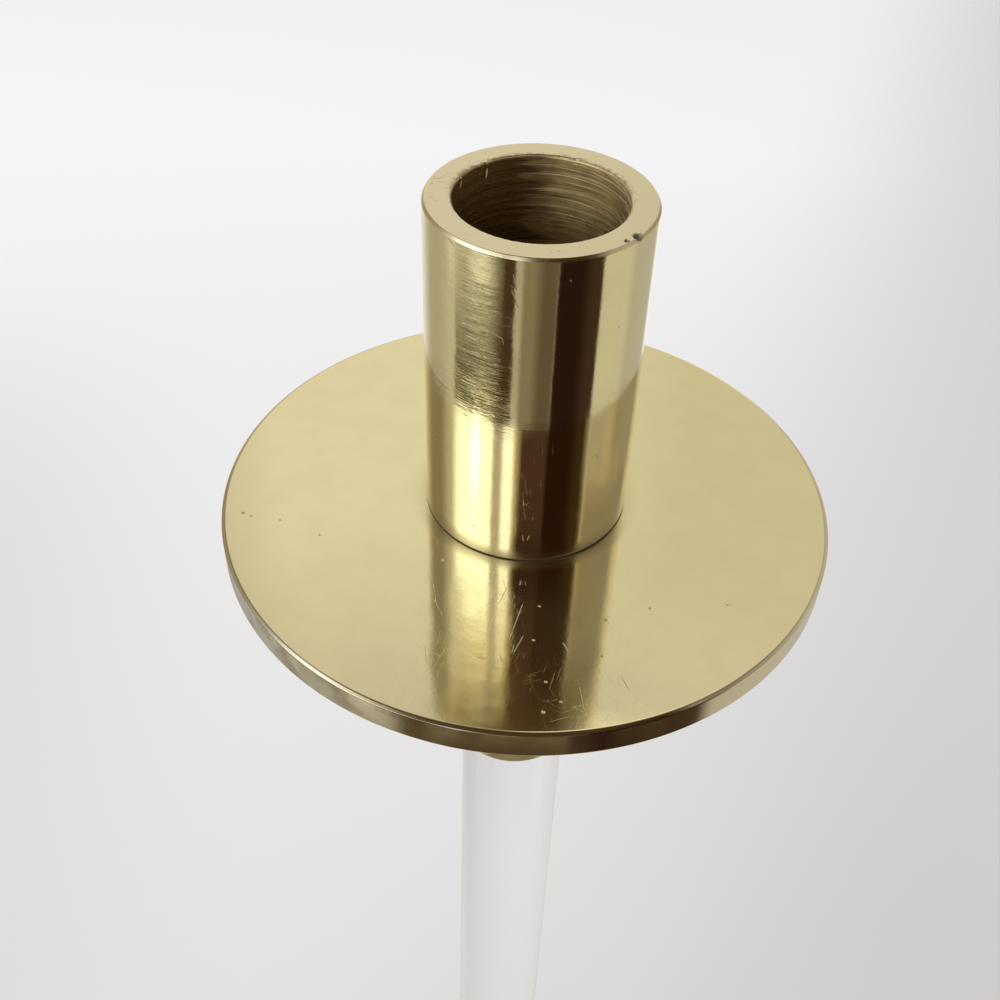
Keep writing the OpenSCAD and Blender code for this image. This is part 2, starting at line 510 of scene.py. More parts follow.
# Hairlines on the plate's top: slope, and how much more of the face they cover
plate_hairlines = [(0.4, 0.0), (1.3, 0.02), (1.9, 0.01), (2.6, 0.0)]
# Where each kind of wear or painted shade starts and where it is full. Names that end in r are distances from
# the axis, in edge distances out from the side, in x and y places to the right and behind, in z heights on
# the side.
foot_haze_and_shade_r = (18.2 * mm, 15.1 * mm)
foot_shade_r = (17.1 * mm, 15.5 * mm)
foot_shade_y = (-5 * mm, -11 * mm)
rim_haze_edge = (-3 * mm, -plate_bevel_w)
bevel_edge = (-0.6 * mm, -plate_bevel_w)
bevel_shade_x = (41 * mm, 33 * mm)
plate_side_edge = (-0.1 * mm, -0.02 * mm)
smudge_x = (12 * mm, -8 * mm)
side_shade_z = (3.4 * mm, 0.3 * mm)
side_shade_y = (-10 * mm, -30 * mm)
side_shade_left_x = (-12 * mm, -8 * mm)
side_shade_right_x = (9 * mm, 4 * mm)
# Scratches on the plate's top in millimetres: place to the right and behind, length, width, and slope
plate_scratches = [
    (-0.3, -26.7, 6.9, 0.13, 1.34),
    (0.2, -30.7, 3.4, 0.12, 1.21),
    (-0.5, -31.5, 1.5, 0.10, 1.40),
    (-2.2, -21.7, 3.6, 0.08, 1.31),
    (-11.8, -22.2, 3.6, 0.12, 1.75),
    (-11.1, -24.9, 3.0, 0.12, 2.05),
    (-10.5, -30.2, 2.4, 0.10, 1.50),
    (-11.9, -33.5, 3.6, 0.08, 1.72),
    (-1.9, -33.4, 1.6, 0.14, 1.91),
    (-4.6, -33.4, 1.0, 0.14, 2.81),
    (-10.0, -39.8, 1.2, 0.10, 2.04),
    (6.5, -30.7, 2.0, 0.14, 2.06),
    (8.7, -39.2, 4.2, 0.10, 1.74),
    (14.3, -36.3, 3.0, 0.12, 1.95)]
# Specks on the plate's top in millimetres, dark and bright: place to the right and behind, and radius
dark_specks = [
    (-41.5, -8.3, 0.4),
    (-40.2, -8.9, 0.25),
    (-35.8, -9.4, 0.25),
    (-29.5, -12.1, 0.25),
    (11.9, -25.5, 0.3),
    (11.3, -31.9, 0.25),
    (18.0, -22.8, 0.3),
    (28.8, -21.4, 0.25)]
bright_specks = [
    (-11.3, -15.8, 0.22),
    (2.2, -29.8, 0.22),
    (2.8, -23.6, 0.22),
    (4.0, -36.8, 0.22),
    (3.8, -41.7, 0.25),
    (6.0, -39.9, 0.20)]


def from_edge(edge, zone):
    """The places at the two distances of a zone from an edge, which are negative inside it."""
    return [edge + distance for distance in zone]


def laid_out(tree, place, length, width, slope=0.0, middle=(0, 0, 0)):
    """Texture space whose unit is this long and this wide, turned by a slope, with its zero at the middle."""
    return add(tree, "Mapping", {
        "Vector": place,
        "Location": middle,
        "Rotation": (0, 0, slope),
        "Scale": (length, width, 1)}, vector_type="TEXTURE").outputs[0]


def scratches(tree, across, up, marks, full_share=0.5):
    """A mask of scratches on a flat or unrolled face, each of (place, place, length, width, slope).

    Each is full over this share of its size, and fades from there to its ends."""
    place = add(tree, "CombineXYZ", {"X": across, "Y": up}).outputs[0]
    mask = 0.0
    for right, back, length, width, slope in marks:
        middle = (right * mm, back * mm, 0)
        spot = laid_out(tree, place, length * mm / 2, width * mm / 2, slope, middle)
        away = add(tree, "VectorMath", {0: spot}, operation="LENGTH").outputs["Value"]
        mask = sums(tree, "MAXIMUM", mask, spread(tree, away, 1, full_share))
    return mask


def specks(tree, across, up, spots):
    """A mask of hard round specks, each of (place, place, radius)."""
    marks = [(right, back, 2 * radius, 2 * radius, 0) for right, back, radius in spots]
    return scratches(tree, across, up, marks, full_share=0.2)


def hairlines(tree, place, length, width, slope, share):
    """Many fine scratches in one direction. They cover more of the face as the share rises."""
    lines = grain(tree, laid_out(tree, place, length, width, slope), 1, 1)
    return spread(tree, lines, 0.72 - share, 0.78 - share)


plate_low, plate_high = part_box("drip_plate")
plate_r = plate_high.x
plate_section = rounded_section([
    (screw_hole_r, plate_low.z, broken_edge),
    (plate_r, plate_low.z, plate_under_r),
    (plate_r, plate_high.z - plate_bevel_h, plate_corner_r),
    (plate_r - plate_bevel_w, plate_high.z, plate_bevel_r),
    (screw_hole_r, plate_high.z, broken_edge)])
plate = turned("drip_disc", plate_section, plate_segments)
plate_finish = polished_metal("satin_plate", pale_brass, plate_roughness, plate_mark_width, plate_mark_depth)
plate_tree = plate_finish.node_tree
plate_place = add(plate_tree, "TexCoord").outputs["Object"]
plate_x, plate_y, plate_z = add(plate_tree, "SeparateXYZ", {0: plate_place}).outputs
plate_out = radius_and_height(plate_tree)[0]
top_only = sums(plate_tree, "GREATER_THAN", plate_z, plate_high.z - plate_bevel_h)
cut_in(plate_finish, grain(plate_tree, plate_place, swell_size, 1), swell_depth)
cut_in(plate_finish, grain(plate_tree, plate_place, ripple_size), ripple_depth)
# Near the cup's foot the plate is hazed, and its colour is darkened there as painted shade
foot_haze_and_shade = spread(plate_tree, plate_out, *foot_haze_and_shade_r)
blend_over(plate_finish, product(plate_tree, foot_haze_and_shade, foot_haze_and_shade), hazed_shaded_brass, 0.25)
# Painted shade on the plate in front of the cup's foot
foot_shade = product(plate_tree,
    spread(plate_tree, plate_out, *foot_shade_r, 0, 0.7),
    spread(plate_tree, plate_y, *foot_shade_y))
blend_over(plate_finish, foot_shade, foot_shade_brown, 0.3)
rim_haze = spread(plate_tree, plate_out, *from_edge(plate_r, rim_haze_edge))
blend_over(plate_finish, rim_haze, roughness=0.1)
# Painted dark reflection on the plate's bevel, everywhere but its far right
on_bevel = product(plate_tree, top_only,
    spread(plate_tree, plate_x, *bevel_shade_x),
    spread(plate_tree, plate_out, *from_edge(plate_r, bevel_edge)))
blend_over(plate_finish, on_bevel, bevel_shade_brown, 0.12)
for slope, share in plate_hairlines:
    lines = hairlines(plate_tree, plate_place, hairline_length, hairline_width, slope, share)
    patches = spread(plate_tree, grain(plate_tree, plate_place, hairline_patch_size), 0.42, 0.6)
    cut_in(plate_finish, product(plate_tree, lines, patches), -hairline_depth)
marks = product(plate_tree, scratches(plate_tree, plate_x, plate_y, plate_scratches), top_only)
cut_in(plate_finish, marks, -scratch_depth)
blend_over(plate_finish, marks, roughness=0.55)
grit = product(plate_tree, specks(plate_tree, plate_x, plate_y, bright_specks), top_only)
cut_in(plate_finish, grit, grit_height)
blend_over(plate_finish, grit, roughness=0.55)
dirt = product(plate_tree, specks(plate_tree, plate_x, plate_y, dark_specks), top_only, 0.75)
blend_over(plate_finish, dirt, speck_brown, 0.4)
smudges = product(plate_tree,
    spread(plate_tree, plate_out, *from_edge(plate_r, plate_side_edge)),
    spread(plate_tree, plate_x, *smudge_x),
    spread(plate_tree, grain(plate_tree, plate_place, smudge_size, 4), 0.44, 0.62, 0, 0.75))
blend_over(plate_finish, smudges, smudge_brown, 0.2)
# Painted dark reflection on the lower front of the plate's side
side_shade = product(plate_tree,
    spread(plate_tree, plate_z, *from_edge(plate_low.z, side_shade_z), 0, 0.8),
    spread(plate_tree, plate_y, *side_shade_y),
    spread(plate_tree, plate_x, *side_shade_left_x),
    spread(plate_tree, plate_x, *side_shade_right_x))
blend_over(plate_finish, side_shade, side_shade_brown, 0.2)
fit_to_frame(plate, "drip_plate", plate_finish)


# Cup stud. A headless steel stud with a hexagon socket in its lower end. It draws the cup, the drip
# plate and the upper ferrule together, and nothing of it shows from outside.
stud_end_step = 0.02 * mm

stud_low, stud_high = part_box("cup_stud")
stud_rings = socket_rings(stud_low.z)
stud_rings += thread_rings(stud_low.z + stud_end_step, stud_high.z, False) + [[(0, 0, stud_high.z)]]
stud = skin("threaded_stud", stud_rings)
fit_to_frame(stud, "cup_stud", zinc_plate)


# Candle cup. Brass bar, bored for the candle, faced and then linished by hand, so that its side has fine
# slanting marks over the lathe's. The bore is left as turned, with its rings, and has tarnished.
cup_floor_t = 10 * mm
candle_bore_r = 11.25 * mm
mouth_chamfer = 0.3 * mm
mouth_edge_r = 0.06 * mm
edge_chamfer_w = 0.31 * mm
edge_chamfer_h = 0.42 * mm
edge_chamfer_r = 0.12 * mm
cup_foot_r = 0.22 * mm
stud_hole_h = 6.97 * mm
stud_cone_h = 1.83 * mm
cup_segments = 400
rim_rings = 12
rim_ring_step = 0.25 * mm
first_ring_depth = 0.7 * mm
last_ring_height = 1.3 * mm
ring_pitch = 0.22 * mm
ring_depth = 0.045 * mm
mouth_raggedness = 0.06 * mm
ragged_h = 0.6 * mm
ragged_w = 0.1 * mm
tear_size = 0.5 * mm
fine_tear_size = 0.2 * mm
pit_limit = 1 * mm
khaki_brass = (0.80, 0.70, 0.42)
worn_brass = (0.84, 0.68, 0.31)
torn_brass = (0.85, 0.78, 0.55)
highlight_brass = (1.0, 0.88, 0.52)
tarnished_brass = (0.93, 0.70, 0.26)
tarnish_and_shade_brown = (0.24, 0.15, 0.06)
edge_shade_brown = (0.40, 0.28, 0.13)
spot_brown = (0.45, 0.36, 0.20)
nick_brown = (0.40, 0.31, 0.17)
soot_brown = (0.34, 0.24, 0.11)
lip_brown = (0.33, 0.23, 0.10)
shade_and_pit_black = (0.09, 0.065, 0.035)
cup_roughness = 0.06
cup_mark_width = 0.15 * mm
cup_mark_depth = 0.001 * mm
side_grain_size = 0.3 * mm
side_grain_depth = 0.003 * mm
belt_patch_size = 4 * mm
belt_wave_length = 10 * mm
belt_wave_width = 0.9 * mm
belt_wave_depth = 0.03 * mm
cup_scratch_depth = 0.02 * mm
edge_line_h = 0.3 * mm
facing_size = 0.35 * mm
facing_depth = 0.02 * mm
spot_size = 0.9 * mm
tarnish_length = 6 * mm
tarnish_width = 1.6 * mm
tarnish_sway = 2.2 * mm
ring_mark_length = 12 * mm
ring_mark_width = 0.14 * mm
ring_mark_depth = 0.09 * mm
highlight_band_length = 8 * mm
highlight_band_width = 0.42 * mm
soot_size = 3 * mm
burn_size = 0.7 * mm
# Where each finish, wear, painted shade or painted highlight starts and where it is full. Names that end in
# edge are distances out from the side, in mouth out from the bore's wall, in top up from the rim, in z up
# from the plate, in x and y places to the right and behind, and in turn angles round from the front.
side_edge = (-0.3 * mm, -0.1 * mm)
face_edge = (-edge_chamfer_w, -0.40 * mm)
face_top = (-0.25 * mm, -0.05 * mm)
bore_mouth = (0.2 * mm, 0.1 * mm)
seam_turn = (3.0, 2.6)
belt_turn = (-0.1, -0.3)
belt_z = (20 * mm, 26 * mm)
worn_edge = (-0.40 * mm, -edge_chamfer_w)
worn_top = (-0.47 * mm, -edge_chamfer_h)
edge_line_edge = (-0.34 * mm, -0.14 * mm)
edge_line_y = (-11 * mm, -4 * mm)
browned_left_x = (3.5 * mm, -3 * mm)
browned_right_x = (8.5 * mm, 11 * mm)
browned_top = (-5 * mm, -17 * mm)
highlight_x = (-4 * mm, 2 * mm)
highlight_top = (-10 * mm, -3 * mm)
burn_y = (-2 * mm, 4 * mm)
burn_mouth = (1.1 * mm, 0.2 * mm)
gap_line_z = (0.30 * mm, 0.16 * mm)
gap_shade_z = (0.60 * mm, 0.35 * mm)
gap_shade_x = (4 * mm, 11 * mm)
# Lines of the linishing belt: length, width, slope, how much of the side they cover, and depth
belt_lines = [
    (7 * mm, 0.07 * mm, -0.03, 0.18, 0.0015 * mm),
    (6 * mm, 0.11 * mm, 0.03, 0.14, 0.0022 * mm),
    (9 * mm, 0.22 * mm, -0.06, 0.10, 0.0035 * mm)]
# Pits at the rim's outer edge: direction in degrees, then radius, length, width and depth in millimetres
rim_pits = [
    (53.9, 14.50, 1.6, 0.9, 0.50),
    (46.8, 14.25, 1.1, 0.50, 0.25)]
# Burrs at the mouth: direction in degrees, then width, length and how far they stand in, in millimetres
mouth_burrs = [
    (-139.0, 0.30, 2.3, 0.30),
    (-112.0, 0.28, 1.6, 0.25)]
# Marks on the cup's side in millimetres: way round from the front, height, length, width, and slope
cup_marks = [
    (-13.6, 14.6, 1.6, 0.12, 2.6),
    (-15.3, 15.7, 1.0, 0.12, 0.4),
    (0.1, 10.9, 1.3, 0.10, 0.6),
    (0.4, 10.7, 1.1, 0.10, 2.5),
    (-0.2, 11.2, 0.8, 0.08, 1.6),
    (0.0, 4.5, 1.3, 0.11, 1.7),
    (0.75, 4.6, 1.2, 0.10, 1.3),
    (10.2, 17.2, 1.2, 0.14, 1.97),
    (11.6, 37.7, 0.8, 0.16, 2.10),
    (14.7, 41.0, 1.4, 0.20, 0.49),
    (4.0, 46.3, 0.4, 0.25, 2.03),
    (-2.6, 45.9, 2.2, 0.22, 1.78),
    (-2.5, 43.6, 2.6, 0.16, 1.95),
    (-4.7, 38.0, 1.8, 0.20, 2.71),
    (-3.8, 37.3, 1.2, 0.12, 1.83),
    (-9.0, 38.1, 3.4, 0.10, 0.08),
    (-5.1, 41.4, 1.8, 0.12, 3.13),
    (-7.7, 41.9, 1.6, 0.10, 3.12),
    (-8.0, 36.4, 3.0, 0.10, 3.02),
    (-5.8, 34.3, 2.2, 0.12, 3.10),
    (-6.5, 30.5, 1.3, 0.10, 3.10),
    (-11.4, 48.5, 1.6, 0.18, 2.75)]
# Marks on the cup's rim in millimetres: place to the right and behind, length, width, and slope
rim_marks = [
    (-13.2, 3.4, 2.4, 0.12, 0.2),
    (-12.7, 2.5, 1.8, 0.10, -0.3),
    (-13.9, 2.0, 0.9, 0.16, 1.3),
    (-12.5, 4.2, 1.4, 0.10, 0.7),
    (-13.6, -1.6, 0.7, 0.16, 0.4),
    (-13.0, -2.4, 0.8, 0.12, 2.2),
    (-14.2, -3.0, 0.6, 0.14, 1.6)]

cup_low, cup_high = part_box("candle_cup")
cup_r = cup_high.x
floor_z = cup_low.z + cup_floor_t
turning = random.Random(4)
first_ring_z = cup_high.z - first_ring_depth
bore_rows = int((first_ring_z - floor_z - last_ring_height) / ring_pitch)
bore_wall = []
for row in range(bore_rows):
    cut = turning.random() ** 2 * ring_depth
    bore_wall.append((candle_bore_r + cut, first_ring_z - row * ring_pitch, 0))
top_face = [(cup_r - edge_chamfer_w - step * rim_ring_step, cup_high.z, 0) for step in range(1, rim_rings)]
cup_section = rounded_section([
    (0, cup_low.z + stud_hole_h + stud_cone_h, 0),
    (tapped_hole_r, cup_low.z + stud_hole_h, broken_edge),
    (tapped_hole_r, cup_low.z, broken_edge),
    (cup_r, cup_low.z, cup_foot_r),
    (cup_r, cup_high.z - edge_chamfer_h, edge_chamfer_r),
    (cup_r - edge_chamfer_w, cup_high.z, edge_chamfer_r),
    *top_face,
    (candle_bore_r + mouth_chamfer, cup_high.z, mouth_edge_r),
    (candle_bore_r, cup_high.z - mouth_chamfer, mouth_edge_r),
    *bore_wall,
    (candle_bore_r, floor_z, broken_edge),
    (0, floor_z, 0)])
cup = turned("cup_body", cup_section, cup_segments)
for vertex in cup.data.vertices:
    x, y, z = vertex.co
    radius = math.hypot(x, y)
    turn = math.degrees(math.atan2(x, -y))
    push_in = 0
    push_down = 0
    under_mouth = cup_high.z - z
    if under_mouth < ragged_h and radius < candle_bore_r + mouth_chamfer + ragged_w:
        ragged = noise.noise(vertex.co / tear_size) + noise.noise(vertex.co / fine_tear_size) / 2
        push_in += mouth_raggedness * ragged
        push_down += mouth_raggedness / 2 * abs(ragged)
    for way, width, length, stand in mouth_burrs:
        beside = abs(math.radians(turn - way)) * radius / (width * mm)
        if beside < 1 and radius < candle_bore_r + mouth_chamfer and under_mouth < length * mm:
            push_in += stand * mm * (1 - beside) * (1 - under_mouth / (length * mm))
    for way, reach, length, width, depth in rim_pits:
        beside = math.radians(turn - way) * radius / (length * mm / 2)
        across_rim = (radius - reach * mm) / (width * mm / 2)
        fade = 1 - math.hypot(beside, across_rim)
        if fade > 0 and under_mouth < pit_limit and radius > candle_bore_r + pit_limit:
            push_down += depth * mm * min(1, 2 * fade)
    if push_in or push_down:
        vertex.co = Vector((x, y, 0)) * (1 - push_in / radius) + Vector((0, 0, z - push_down))


def rim_place(way, radius, depth):
    """A point at a direction in degrees from the front, a radius, and a depth under the rim."""
    turn = math.radians(way)
    return Vector((radius * math.sin(turn), -radius * math.cos(turn), cup_high.z - depth))


cup_finish = polished_metal("linished_cup", yellow_brass, cup_roughness, cup_mark_width, cup_mark_depth)
cup_tree = cup_finish.node_tree
cup_place = add(cup_tree, "TexCoord").outputs["Object"]
cup_x, cup_y, cup_z = add(cup_tree, "SeparateXYZ", {0: cup_place}).outputs
cup_out = radius_and_height(cup_tree)[0]
front_turn = sums(cup_tree, "ARCTAN2", cup_x, product(cup_tree, cup_y, -1))
way_round = product(cup_tree, front_turn, cup_r)
over_plate = sums(cup_tree, "SUBTRACT", cup_z, cup_low.z)
unrolled = add(cup_tree, "CombineXYZ", {"X": way_round, "Y": over_plate}).outputs[0]
on_side = spread(cup_tree, cup_out, *from_edge(cup_r, side_edge))
on_top = product(cup_tree,
    spread(cup_tree, cup_z, *from_edge(cup_high.z, face_top)),
    spread(cup_tree, cup_out, *from_edge(cup_r, face_edge)))
in_bore = product(cup_tree,
    spread(cup_tree, cup_out, *from_edge(candle_bore_r, bore_mouth)),
    sums(cup_tree, "GREATER_THAN", cup_z, floor_z - broken_edge))

# The side, linished by hand, mostly on its upper half
side_grain = product(cup_tree, grain(cup_tree, cup_place, side_grain_size), on_side)
cut_in(cup_finish, side_grain, side_grain_depth)
worked = product(cup_tree, on_side,
    spread(cup_tree, sums(cup_tree, "ABSOLUTE", front_turn), *seam_turn),
    spread(cup_tree, over_plate, *belt_z, 0.35, 1),
    spread(cup_tree, grain(cup_tree, cup_place, belt_patch_size, 4), 0.38, 0.62, 0.15, 1),
    spread(cup_tree, front_turn, *belt_turn, 0.3, 1))
belt_waves = grain(cup_tree, laid_out(cup_tree, unrolled, belt_wave_length, belt_wave_width), 1, 2)
cut_in(cup_finish, product(cup_tree, belt_waves, worked), belt_wave_depth)
for length, width, slope, share, depth in belt_lines:
    lines = product(cup_tree, hairlines(cup_tree, unrolled, length, width, slope, share), worked)
    blend_over(cup_finish, lines, roughness=0.1)
    cut_in(cup_finish, lines, -depth)
marks = product(cup_tree, scratches(cup_tree, way_round, over_plate, cup_marks), on_side)
cut_in(cup_finish, marks, -cup_scratch_depth)
blend_over(cup_finish, marks, roughness=0.5)
edge_wear = product(cup_tree,
    spread(cup_tree, cup_z, *from_edge(cup_high.z, worn_top)),
    spread(cup_tree, cup_out, *from_edge(cup_r, worn_edge)))
blend_over(cup_finish, edge_wear, worn_brass, 0.24)
# Painted dark reflection along the rim's outer edge at the back and sides
edge_shade_line = product(cup_tree,
    spread(cup_tree, cup_out, *from_edge(cup_r, edge_line_edge)),
    sums(cup_tree, "GREATER_THAN", cup_z, cup_high.z - edge_line_h),
    spread(cup_tree, cup_y, *edge_line_y),
    0.7)
blend_over(cup_finish, edge_shade_line, edge_shade_brown, 0.35)

# The rim's face, dulled and nicked
blend_over(cup_finish, on_top, khaki_brass, 0.3)
cut_in(cup_finish, product(cup_tree, grain(cup_tree, cup_place, facing_size, 4), on_top), facing_depth)
spots = product(cup_tree, spread(cup_tree, grain(cup_tree, cup_place, spot_size), 0.68, 0.76), on_top)
blend_over(cup_finish, spots, spot_brown, 0.45)
nicks = product(cup_tree, scratches(cup_tree, cup_x, cup_y, rim_marks), on_top)
cut_in(cup_finish, nicks, -cup_scratch_depth)
blend_over(cup_finish, product(cup_tree, nicks, 0.7), nick_brown, 0.45)

# The bore, tarnished, with painted shade on its left wall, darker towards its bottom, and painted highlights
# on rings near the mouth
blend_over(cup_finish, in_bore, tarnished_brass, 0.38, 0.78)
# Painted shade: the bore's left wall, away from the light, is painted brown over its tarnish, and a strip on
# its right at half strength
sway = grain(cup_tree, turning_place(cup_tree, tarnish_length, tarnish_width), 1, 4)
patchy_x = sums(cup_tree, "ADD", cup_x, spread(cup_tree, sway, 0.35, 0.65, -tarnish_sway, tarnish_sway))
browned = sums(cup_tree, "ADD",
    spread(cup_tree, patchy_x, *browned_left_x, 0, 0.9),
    spread(cup_tree, cup_x, *browned_right_x, 0, 0.5))
blend_over(cup_finish, product(cup_tree, browned, in_bore), tarnish_and_shade_brown, 0.5, 1)
# Darker towards the bottom of the bore
browned_deep = spread(cup_tree, cup_z, *from_edge(cup_high.z, browned_top), 0, 0.7)
blend_over(cup_finish, product(cup_tree, browned_deep, in_bore), tarnish_and_shade_brown, 0.5, 1)
# Painted highlights on rings near the mouth, on the bore's right side
highlight_bands = grain(cup_tree, turning_place(cup_tree, highlight_band_length, highlight_band_width), 1, 4)
ring_highlights = product(cup_tree, in_bore,
    spread(cup_tree, highlight_bands, 0.53, 0.60),
    spread(cup_tree, cup_z, *from_edge(cup_high.z, highlight_top)),
    spread(cup_tree, cup_x, *highlight_x, 0, 0.8))
blend_over(cup_finish, ring_highlights, highlight_brass, 0.22, 0.45)
rings = grain(cup_tree, turning_place(cup_tree, ring_mark_length, ring_mark_width), 1, 3)
cut_in(cup_finish, product(cup_tree, rings, in_bore), ring_mark_depth)
soot = spread(cup_tree, grain(cup_tree, cup_place, soot_size, 5), 0.45, 0.7)
blend_over(cup_finish, product(cup_tree, soot, in_bore, 0.4), soot_brown, 0.5)

# The burnt lip, the burrs, the painted shade in the gap over the plate, heavier on the right, and the pits
# painted near-black
burnt_lip = product(cup_tree, on_top,
    spread(cup_tree, cup_y, *burn_y),
    spread(cup_tree, cup_out, *from_edge(candle_bore_r, burn_mouth)),
    spread(cup_tree, grain(cup_tree, cup_place, burn_size, 5), 0.44, 0.56),
    0.8)
blend_over(cup_finish, burnt_lip, lip_brown, 0.4)
for way, width, length, stand in mouth_burrs:
    burr_place = rim_place(way, candle_bore_r, length * mm / 2)
    sliver = add(cup_tree, "VectorMath", {
        0: add(cup_tree, "VectorMath", {0: cup_place, 1: burr_place}, operation="SUBTRACT").outputs["Vector"],
        1: (2 / (width * mm), 2 / (width * mm), 2 / (length * mm))}, operation="MULTIPLY").outputs["Vector"]
    away = add(cup_tree, "VectorMath", {0: sliver}, operation="LENGTH").outputs["Value"]
    blend_over(cup_finish, spread(cup_tree, away, 1.2, 0.8), torn_brass, 0.5, 0.3)
# Painted shade in the gap at the cup's foot, all round and heavier on the right
gap_line = spread(cup_tree, over_plate, *gap_line_z)
blend_over(cup_finish, product(cup_tree, gap_line, 0.8), shade_and_pit_black, 0.5, 0.5)
gap_shade = product(cup_tree,
    spread(cup_tree, over_plate, *gap_shade_z),
    spread(cup_tree, cup_x, *gap_shade_x, 0, 0.8))
blend_over(cup_finish, gap_shade, shade_and_pit_black, 0.5, 0.5)
# The pits are painted near-black
for way, reach, length, width, depth in rim_pits:
    pit_place = rim_place(way, reach * mm, 0)
    away = add(cup_tree, "VectorMath", {0: cup_place, 1: pit_place}, operation="DISTANCE").outputs["Value"]
    blend_over(cup_finish, spread(cup_tree, away, 0.9 * width * mm, 0.6 * width * mm), shade_and_pit_black, 0.6, 0.2)
fit_to_frame(cup, "candle_cup", cup_finish)


# Studio floor. A wide pale sheet that the holder stands on. It takes the object's soft shadow, and it is
# painted
# with shade: darker near the holder than far behind it, and darker still towards the near corners.
floor_r = 4
floor_t = 5 * mm
floor_segments = 96
floor_far_y = 0.8
floor_near = (0.74, 0.73, 0.725)
floor_far = (0.98, 0.97, 0.975)
floor_corner_shade = (0.60, 0.588, 0.576)
# The painted shade in the corners: how far each slants across the floor, and where it starts and is full
right_slant = -0.35
right_corner_x = (-120 * mm, 150 * mm)
left_slant = 0.2
left_corner_x = (-70 * mm, -270 * mm)
left_corner_y = (600 * mm, 250 * mm)


def eased(tree, value, low, high, to_high):
    """Zero at low and to_high at high, like spread, but easing in and out."""
    limits = {"Value": value, "From Min": low, "From Max": high, "To Max": to_high}
    return add(tree, "MapRange", limits, interpolation_type="SMOOTHSTEP").outputs["Result"]


floor_section = [(0, -floor_t), (floor_r, -floor_t), (floor_r, 0), (0, 0)]
floor = turned("studio_floor", floor_section, floor_segments)
paper, paper_tree, paper_shader = new_finish("pale_paper")
paper_place = add(paper_tree, "TexCoord").outputs["Object"]
paper_x, paper_y = add(paper_tree, "SeparateXYZ", {0: paper_place}).outputs[:2]
paper_tone = two_tones(paper_tree, spread(paper_tree, paper_y, 0, floor_far_y), floor_near, floor_far)
paper_tree.links.new(paper_tone, paper_shader.inputs["Base Color"])
to_right = sums(paper_tree, "MULTIPLY_ADD", paper_y, right_slant, paper_x)
# Painted shade in the near corners
blend_over(paper, eased(paper_tree, to_right, *right_corner_x, 0.64), floor_corner_shade)
to_left = sums(paper_tree, "MULTIPLY_ADD", paper_y, left_slant, paper_x)
near_left_shade = product(paper_tree,
    eased(paper_tree, to_left, *left_corner_x, 0.5),
    eased(paper_tree, paper_y, *left_corner_y, 1))
blend_over(paper, near_left_shade, floor_corner_shade)
paper_shader.inputs["Roughness"].default_value = 1
paper_shader.inputs["Specular IOR Level"].default_value = 0
floor.data.materials.append(paper)


# Cards round the holder. A dome that shows only in reflections, painted with soft-edged cards: pale screens
# all round, a bright card high on the left, a dark flag in front on the right and a pale card beside it.
dome_step = 10
dome_turns = 360
# The dome's section from the floor up: radius and height in millimetres
dome_section = [(50, 2), (140, 30), (250, 105), (250, 730), (160, 800), (1, 830)]
screen_tone = (0.82, 0.80, 0.78)
